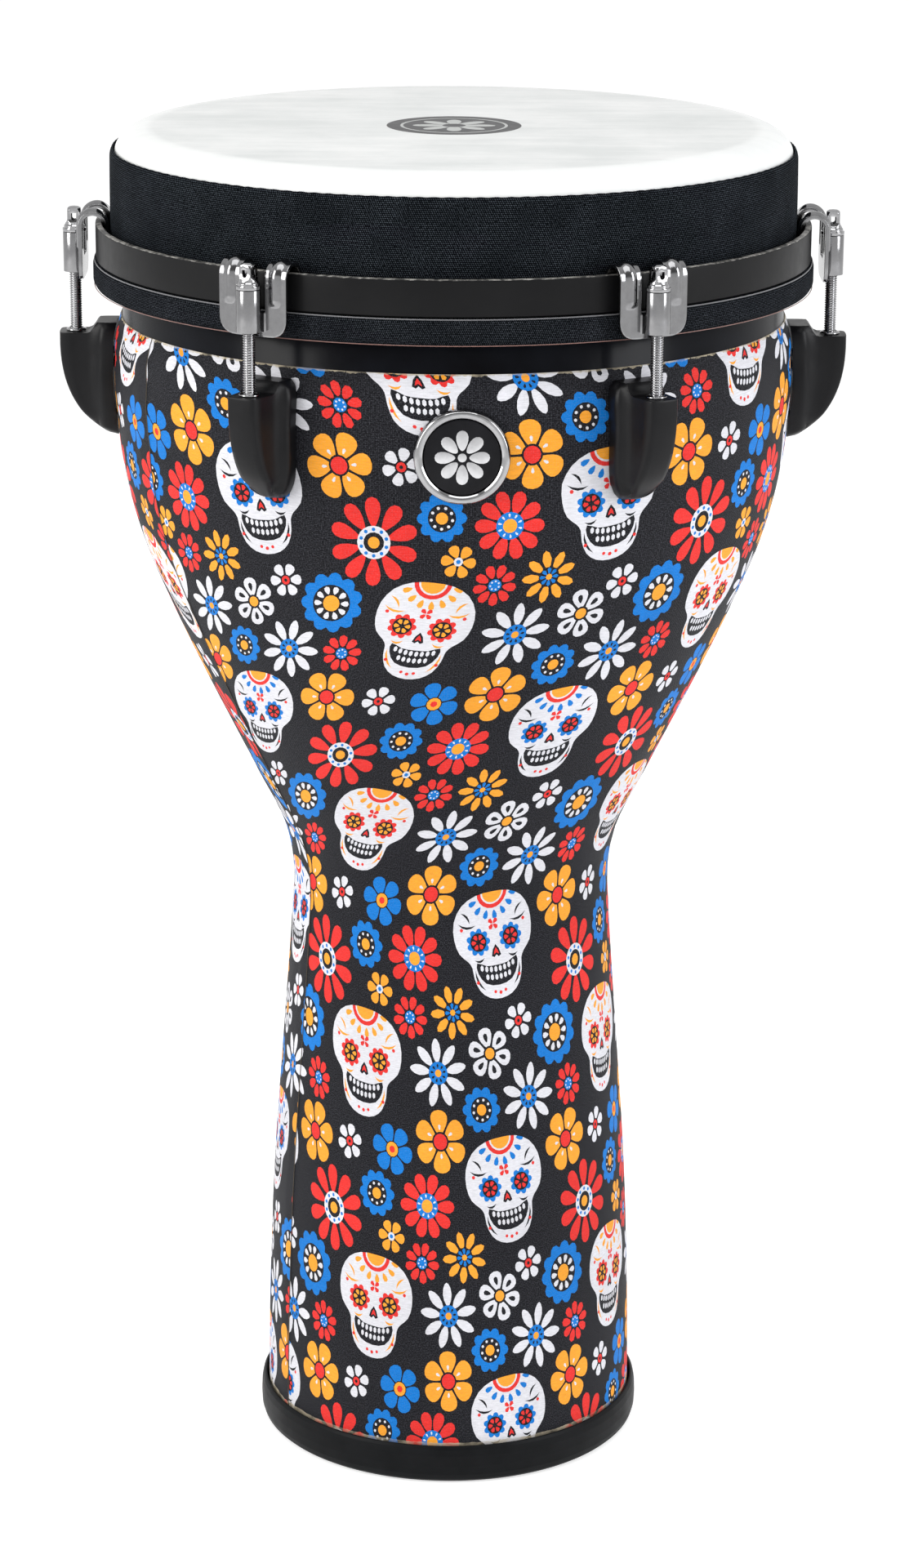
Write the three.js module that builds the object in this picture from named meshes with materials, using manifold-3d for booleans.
// Goblet hand drum with a synthetic head pulled down by six claw hooks.
// Millimetres, +Z up, origin on the floor at the drum's axis, front (badge) towards -Y.
import * as THREE from "three";
import { mergeVertices } from "three/addons/utils/BufferGeometryUtils.js";
import Module from "manifold-3d";

const wasm = await Module();
wasm.setup();

// ---- driving dimensions -------------------------------------------------------------------
const AROUND = 48; // facets round every turned piece, so coaxial gaps stay even
const GAP = 0.3; // clearance between pieces that touch on the real drum
const STATIONS = 6; // hook, rod, nut and lug sets, evenly spaced

const HEAD = {
  top: 624.4, // flat playing surface
  flatRadius: 136.5, // where the flat turns into the shoulder
  skirtRadius: 151.9, // outside of the film below the shoulder
  shoulderDrop: 11,
  film: 1.2,
  skirtBottom: 606,
};
const SLEEVE = { outer: 154.5, inner: 152.3, top: 615.5, bottom: 567 };
const FLESH_HOOP = { outer: 162.3, inner: 152.3, top: 566.2, bottom: 554.7 };
const COUNTER_HOOP = { outer: 161, inner: 158, top: 582.6, bottom: 566.6, bevel: 0.5 };

const COLLAR = { radius: 149.3, bottom: 542, edgeStart: 608 }; // bare rim of the shell
const WALL = 5.2; // shell wall, measured level
const FABRIC = 0.9; // printed cloth glued round the shell
// outside of the cloth, foot to rim: [radius, height]
const CLOTH_PROFILE = [
  [88.0, 6],
  [87.2, 60],
  [84.4, 130],
  [79.3, 200],
  [75.2, 258],
  [74.4, 276],
  [75.3, 287],
  [78.0, 299],
  [92.5, 330],
  [116.8, 380],
  [130.4, 410],
  [142.4, 440],
  [150.0, 470],
  [153.2, 498],
  [153.7, 526],
  [150.9, 541],
];

const FOOT_RING = { outer: 91.1, inner: 80.5, top: 18.8, lipTop: 14, seat: 4.3 };

const ROD = { radius: 2.75, axis: 171, top: 579.5, bottom: 519, headRadius: 4.2, headHeight: 4.2 };
const CLAW = {
  halfWidth: 16.5,
  slotHalfWidth: 6.2,
  slotBottom: 566,
  bottom: 555.9,
  cornerRadius: 8.5,
  face: 168, // outside of the plate
  thickness: 1.8,
  curlRadius: 6.55, // outside radius of the bend over the hoop
  curlHeight: 580.7,
  tipBottom: 575,
  ribOffset: 11,
  ribHalfWidth: 1.2,
  ribHeight: 0.9,
  ribBottom: 570,
  barrelRadius: 4.75,
  boreRadius: 4.1,
  barrelTop: 576,
  barrelBottom: 558.4,
};
const NUT = { stemRadius: 3.75, boreRadius: 3.1, stemBottom: 561, boreTop: 585, key: 5.6 };
const LUG = { top: 536, shoulder: 531, bottom: 483.6, front: 178.4, halfWidth: 12 };
const SCREW = { heights: [493.5, 522], radius: 1.6, hole: 1.9, headRadius: 4.5, tip: 165 };
const BADGE = { radius: 20.5, domeRadius: 16.3, height: 506.5, turn: 1.5, rise: 2.6 };

// ---- helpers ------------------------------------------------------------------------------
function solidOf(geometry) {
  const bare = geometry.index ? geometry.toNonIndexed() : geometry.clone();
  bare.deleteAttribute("normal");
  bare.deleteAttribute("uv");
  const merged = mergeVertices(bare, 1e-4);
  const mesh = new wasm.Mesh({
    numProp: 3,
    vertProperties: new Float32Array(merged.attributes.position.array),
    triVerts: new Uint32Array(merged.index.array),
  });
  return new wasm.Manifold(mesh);
}

function geometryOf(solid) {
  const mesh = solid.getMesh();
  const positions = new Float32Array(mesh.numVert * 3);
  for (let i = 0; i < mesh.numVert; i++) {
    positions.set(mesh.vertProperties.subarray(i * mesh.numProp, i * mesh.numProp + 3), i * 3);
  }
  const geometry = new THREE.BufferGeometry();
  geometry.setAttribute("position", new THREE.BufferAttribute(positions, 3));
  geometry.setIndex(new THREE.BufferAttribute(new Uint32Array(mesh.triVerts), 1));
  return geometry;
}

// Signed area of a closed outline; positive is counter-clockwise.
function signedArea(outline) {
  return outline.reduce((sum, [x, y], i) => {
    const [u, v] = outline[(i + 1) % outline.length];
    return sum + (x * v - u * y) / 2;
  }, 0);
}

// Solid of revolution about Z from a closed [radius, height] outline.
function turned(outline, segments = AROUND) {
  const ordered = signedArea(outline) > 0 ? outline : [...outline].reverse();
  const points = [...ordered, ordered[0]].map(([r, z]) => new THREE.Vector2(r, z));
  const geometry = new THREE.LatheGeometry(points, segments);
  geometry.rotateX(Math.PI / 2);
  return solidOf(geometry);
}

// Points on a circular or elliptical arc, ends included, angles in degrees.
function arc(cx, cy, rx, ry, from, to, steps) {
  return Array.from({ length: steps + 1 }, (_, i) => {
    const a = THREE.MathUtils.degToRad(from + ((to - from) * i) / steps);
    return [cx + rx * Math.cos(a), cy + ry * Math.sin(a)];
  });
}

// Straight extrusion of an outline; basis gives the world directions of outline x, outline y, depth.
function prism(outline, start, end, basis) {
  const shape = new THREE.Shape(outline.map(([x, y]) => new THREE.Vector2(x, y)));
  const geometry = new THREE.ExtrudeGeometry(shape, { depth: end - start, bevelEnabled: false });
  geometry.translate(0, 0, start);
  geometry.applyMatrix4(new THREE.Matrix4().makeBasis(...basis));
  return solidOf(geometry);
}
const X = new THREE.Vector3(1, 0, 0);
const Y = new THREE.Vector3(0, 1, 0);
const Z = new THREE.Vector3(0, 0, 1);
const sidePrism = (outline, halfWidth) => prism(outline, -halfWidth, halfWidth, [Y, Z, X]);
const frontPrism = (outline, near, far) => prism(outline, -far, -near, [X, Z, Y.clone().negate()]);
const planPrism = (outline, low, high) => prism(outline, low, high, [X, Y, Z]);

// Cylinder along Z at a radial distance, or along the radial Y direction at a height.
function uprightCylinder(radius, axisY, low, high, sides = 16) {
  const geometry = new THREE.CylinderGeometry(radius, radius, high - low, sides);
  geometry.rotateX(Math.PI / 2);
  geometry.translate(0, axisY, (low + high) / 2);
  return solidOf(geometry);
}
function radialCylinder(radius, height, near, far, sides = 8) {
  const geometry = new THREE.CylinderGeometry(radius, radius, far - near, sides);
  geometry.translate(0, (near + far) / 2, height);
  return solidOf(geometry);
}

function box(halfWidth, near, far, low, high) {
  const outline = [
    [-halfWidth, near],
    [halfWidth, near],
    [halfWidth, far],
    [-halfWidth, far],
  ];
  return planPrism(outline, low, high);
}

// Linear reading of the cloth outline: radius at a height.
function clothRadius(z) {
  const i = Math.max(1, CLOTH_PROFILE.findIndex(([, height]) => height >= z));
  const [r0, z0] = CLOTH_PROFILE[i - 1];
  const [r1, z1] = CLOTH_PROFILE[i];
  return r0 + ((r1 - r0) * (z - z0)) / (z1 - z0);
}
const inwards = (profile, by) => profile.map(([r, z]) => [r - by, z]);

// Stations stand at 0, 60, ... 300 degrees from +X; local +Y points outwards.
const stationTurn = (index) => (index * 360) / STATIONS - 90;
const atStation = (solid, index) => solid.rotate([0, 0, stationTurn(index)]);
const stationNumbers = [...Array(STATIONS).keys()];

const group = new THREE.Group();
group.name = "djembe";
function add(name, solid, color, roughness, metalness = 0) {
  const material = new THREE.MeshStandardMaterial({ color, roughness, metalness });
  const mesh = new THREE.Mesh(geometryOf(solid), material);
  mesh.name = name;
  group.add(mesh);
}
function addAtStations(name, solid, color, roughness, metalness) {
  for (const i of stationNumbers) {
    add(`${name}_${i + 1}`, atStation(solid, i), color, roughness, metalness);
  }
}

// ---- shell, cloth and foot ----------------------------------------------------------------
function screwHoles(near, far) {
  const pair = SCREW.heights.map((z) => radialCylinder(SCREW.hole, z, near, far));
  const both = pair[0].add(pair[1]);
  return stationNumbers.map((i) => atStation(both, i)).reduce((a, b) => a.add(b));
}

function shell() {
  const outside = inwards(CLOTH_PROFILE, FABRIC + GAP);
  const inside = inwards(outside, WALL);
  const outline = [
    ...outside.slice(0, -1),
    [COLLAR.radius, COLLAR.bottom],
    [COLLAR.radius, COLLAR.edgeStart],
    [148.6, 613.5],
    [146.2, 618],
    [142.6, 621.3],
    [139.4, 622.6],
    [137, 620.5],
    [137, 606],
    [143.2, 590],
    ...inside.slice(0, -1).reverse(),
  ];
  return turned(outline).subtract(screwHoles(135, 160));
}

function cloth() {
  const outline = [...CLOTH_PROFILE, ...inwards(CLOTH_PROFILE, FABRIC).reverse()];
  return turned(outline).subtract(screwHoles(145, 160));
}

function footRing() {
  const { outer, inner, top, lipTop, seat } = FOOT_RING;
  const clothFoot = CLOTH_PROFILE[0][0];
  const shellInside = clothFoot - FABRIC - GAP - WALL;
  const outline = [
    [inner, 0],
    [88.2, 0],
    [89.9, 0.7],
    [90.9, 2.2],
    [outer, 4.5],
    [outer, 12],
    [90.5, 16.6],
    [89.6, top],
    [clothFoot + GAP, top],
    [clothFoot + GAP, seat],
    [shellInside - GAP, seat],
    [shellInside - GAP, lipTop],
    [inner, lipTop],
  ];
  return turned(outline);
}

// ---- head ---------------------------------------------------------------------------------
function headMembrane() {
  const { top, flatRadius, skirtRadius, shoulderDrop, film, skirtBottom } = HEAD;
  const width = skirtRadius - flatRadius;
  const shoulder = arc(flatRadius, top - shoulderDrop, width, shoulderDrop, 90, 0, 5);
  const under = arc(flatRadius, top - shoulderDrop, width - film, shoulderDrop - film, 0, 90, 4);
  const outline = [
    [0, top],
    ...shoulder,
    [skirtRadius, skirtBottom],
    [skirtRadius - film, skirtBottom],
    ...under,
    [0, top - film],
  ];
  return turned(outline);
}

function headSleeve() {
  const { outer, inner, top, bottom } = SLEEVE;
  const outline = [
    [inner, bottom],
    [outer, bottom],
    [outer, 600],
    [outer, top - 0.7],
    [outer - 0.7, top],
    [inner, top],
  ];
  return turned(outline);
}

function fleshHoop() {
  const { outer, inner, top, bottom } = FLESH_HOOP;
  const outline = [
    [inner, bottom + 1.5],
    [inner + 1.5, bottom],
    [outer - 3.4, bottom],
    [outer - 1.2, bottom + 1],
    [outer, bottom + 3.4],
    [outer, top - 3.2],
    [outer - 1, top - 0.9],
    [outer - 2.8, top],
    [inner, top],
  ];
  return turned(outline);
}

function counterHoop() {
  const { outer, inner, top, bottom, bevel } = COUNTER_HOOP;
  const outline = [
    [inner, bottom],
    [outer, bottom],
    [outer, top - bevel],
    [outer - bevel, top],
    [inner + bevel, top],
    [inner, top - bevel],
  ];
  return turned(outline);
}

// ---- claw hook ----------------------------------------------------------------------------
// Side outline of the bent strip: outer leg, curl over the hoop, short inner leg.
function stripOutline(face, thickness, bottom, tipBottom) {
  const centre = CLAW.face - CLAW.curlRadius;
  const outerRadius = face - centre;
  const innerRadius = outerRadius - thickness;
  const height = CLAW.curlHeight;
  return [
    [face, bottom],
    ...arc(centre, height, outerRadius, outerRadius, 0, 180, 8),
    [centre - outerRadius, tipBottom],
    [centre - innerRadius, tipBottom],
    ...arc(centre, height, innerRadius, innerRadius, 180, 0, 8),
    [face - thickness, bottom],
  ];
}

// Front outline: rounded lower corners and a slot between the two arms.
function clawFront() {
  const { halfWidth: w, bottom, cornerRadius: r, slotHalfWidth: s, slotBottom } = CLAW;
  const above = CLAW.curlHeight + 20;
  return [
    ...arc(w - r, bottom + r, r, r, -90, 0, 5),
    [w, above],
    [s, above],
    [s, slotBottom],
    [-s, slotBottom],
    [-s, above],
    [-w, above],
    ...arc(-w + r, bottom + r, r, r, 180, 270, 5),
  ];
}

function clawHook() {
  const strip = sidePrism(
    stripOutline(CLAW.face, CLAW.thickness, CLAW.bottom, CLAW.tipBottom),
    CLAW.halfWidth,
  ).intersect(frontPrism(clawFront(), 100, 200));
  const ribOutline = stripOutline(CLAW.face + CLAW.ribHeight, 1.7, CLAW.ribBottom, CLAW.curlHeight - 1);
  const rib = sidePrism(ribOutline, CLAW.ribHalfWidth);
  const ribs = rib
    .translate([CLAW.ribOffset, 0, 0])
    .add(rib.translate([-CLAW.ribOffset, 0, 0]));
  const barrel = uprightCylinder(
    CLAW.barrelRadius,
    ROD.axis,
    CLAW.barrelBottom,
    CLAW.barrelTop,
    16,
  );
  const bore = uprightCylinder(CLAW.boreRadius, ROD.axis, 540, 600, 16);
  const neck = box(CLAW.slotHalfWidth, CLAW.face - 1, ROD.axis, CLAW.barrelBottom, CLAW.slotBottom);
  return strip.add(ribs).add(barrel).add(neck).subtract(bore);
}

// ---- nut, rod, washer ---------------------------------------------------------------------
function tuningNut() {
  const { stemRadius, boreRadius, stemBottom, boreTop, key } = NUT;
  const seat = CLAW.barrelTop + GAP;
  const body = [
    [0, stemBottom],
    [stemRadius, stemBottom],
    [stemRadius, seat],
    [5.2, seat],
    [5.2, seat + 1.7],
    [4.6, seat + 2.6],
    [3.6, seat + 4.4],
    [3.6, 585.2],
    [2.4, 587.2],
    [0, 587.6],
  ];
  const square = box(key / 2, -key / 2, key / 2, seat + 3.2, 600);
  const below = uprightCylinder(10, 0, 540, seat + 3.2, 4);
  const bore = uprightCylinder(boreRadius, 0, 540, boreTop, 16);
  const blank = turned(body, 16);
  return blank.intersect(square.add(below)).subtract(bore).translate([0, ROD.axis, 0]);
}

function tuningRod() {
  const shank = uprightCylinder(ROD.radius, ROD.axis, ROD.bottom, ROD.top);
  const head = uprightCylinder(
    ROD.headRadius,
    ROD.axis,
    ROD.bottom - ROD.headHeight,
    ROD.bottom,
    6,
  );
  return shank.add(head);
}

function rodWasher() {
  const outline = [
    [3.1, LUG.shoulder + GAP],
    [4.5, LUG.shoulder + GAP],
    [3.9, LUG.shoulder + 1.2],
    [3.1, LUG.shoulder + 1.2],
  ];
  return turned(outline, 16).translate([0, ROD.axis, 0]);
}

// ---- lug and its screws -------------------------------------------------------------------
function clothEnvelope() {
  const outline = CLOTH_PROFILE.map(([r, z]) => [r + GAP, z]);
  return turned([[0, CLOTH_PROFILE[0][1]], ...outline, [0, CLOTH_PROFILE.at(-1)[1]]]);
}

function lug() {
  const { top, shoulder, bottom, front, halfWidth } = LUG;
  const side = [
    [145, bottom],
    [153, 484.1],
    [159.7, 486.4],
    [164.9, 490.2],
    [169.4, 494.9],
    [173, 500.7],
    [175.6, 506.8],
    [177.8, 515.8],
    [front, 524],
    [front, shoulder - 1.2],
    [front - 1.2, shoulder],
    [165.6, shoulder],
    [163.6, shoulder + 1],
    [162.2, top - 1],
    [160.8, top],
    [145, top],
  ];
  const plan = [
    [-6.2, front + 1],
    [-7.4, front - 1.6],
    [-8.2, 166],
    [-8.8, 163.2],
    [-halfWidth, 160.4],
    [-halfWidth, 145],
  ];
  const face = [
    [-4.4, bottom - 1],
    [-7.2, 485.6],
    [-9.2, 488.6],
    [-11, 494],
    [-halfWidth, 502],
    [-halfWidth, 531.5],
    [-10.6, 534.4],
    [-7.6, top + 1],
  ];
  const mirrored = (half) => [...half, ...half.map(([x, v]) => [-x, v]).reverse()];
  const pocket = box(4.5, 140, ROD.axis + 4.5, ROD.bottom - 5, ROD.bottom + 0.3);
  const rodHole = uprightCylinder(ROD.radius + GAP, ROD.axis, ROD.bottom, top + 2);
  const block = sidePrism(side, halfWidth)
    .intersect(planPrism(mirrored(plan).reverse(), bottom - 2, top + 2))
    .intersect(frontPrism(mirrored(face).reverse(), 140, 190))
    .subtract(clothEnvelope())
    .subtract(pocket)
    .subtract(rodHole);
  return SCREW.heights.reduce(
    (body, z) => body.subtract(radialCylinder(SCREW.hole, z, 140, SCREW.tip + 1)),
    block,
  );
}

function lugScrew(height) {
  const insideWall = clothRadius(height) - FABRIC - GAP - WALL;
  const seat = insideWall - 0.6;
  const shank = radialCylinder(SCREW.radius, height, seat - 1, SCREW.tip);
  const head = radialCylinder(SCREW.headRadius, height, seat - 2.4, seat, 12);
  const recess = radialCylinder(1.6, height, seat - 3, seat - 1.1, 6);
  return shank.add(head).subtract(recess);
}

// ---- badge --------------------------------------------------------------------------------
function onFront(outline) {
  const surface = clothRadius(BADGE.height);
  const body = turned(
    outline.map(([r, rise]) => [r, surface + rise]),
    32,
  );
  return body
    .rotate([90, 0, 0])
    .translate([0, 0, BADGE.height])
    .subtract(clothEnvelope())
    .rotate([0, 0, BADGE.turn]);
}

function badgeRing() {
  const { radius, domeRadius, rise } = BADGE;
  return onFront([
    [domeRadius + GAP, -4],
    [radius, -4],
    [radius, rise - 1.2],
    [radius - 0.9, rise - 0.2],
    [radius - 2, rise],
    [domeRadius + 1.1, rise - 0.4],
    [domeRadius + GAP, rise - 1.2],
  ]);
}

function badgeDome() {
  const { domeRadius, rise } = BADGE;
  return onFront([
    [0, -1],
    [domeRadius, -4],
    [domeRadius, rise - 1.4],
    [domeRadius * 0.7, rise - 0.8],
    [domeRadius * 0.35, rise - 0.5],
    [0, rise - 0.4],
  ]);
}

// ---- assembly -----------------------------------------------------------------------------
const BLACK_LACQUER = 0x0b0b0d;
const CHROME = 0xc9ccd1;

add("shell", shell(), BLACK_LACQUER, 0.25);
add("cloth_wrap", cloth(), 0x26262b, 0.75);
add("foot_ring", footRing(), 0x1c1d1e, 0.8);
add("head_membrane", headMembrane(), 0xe9ebea, 0.55);
add("head_sleeve", headSleeve(), 0x111215, 0.9);
add("flesh_hoop", fleshHoop(), 0x131417, 0.9);
add("counter_hoop", counterHoop(), 0x202123, 0.45, 0.4);
add("badge_ring", badgeRing(), CHROME, 0.15, 1);
add("badge_dome", badgeDome(), BLACK_LACQUER, 0.1);
addAtStations("claw_hook", clawHook(), CHROME, 0.15, 1);
addAtStations("tuning_nut", tuningNut(), CHROME, 0.15, 1);
addAtStations("tuning_rod", tuningRod(), 0xaeb2b8, 0.25, 1);
addAtStations("rod_washer", rodWasher(), CHROME, 0.2, 1);
addAtStations("lug", lug(), 0x141516, 0.5);
SCREW.heights.forEach((height, row) => {
  addAtStations(`lug_screw_${row ? "top" : "low"}`, lugScrew(height), 0x55585c, 0.35, 1);
});

export default group;
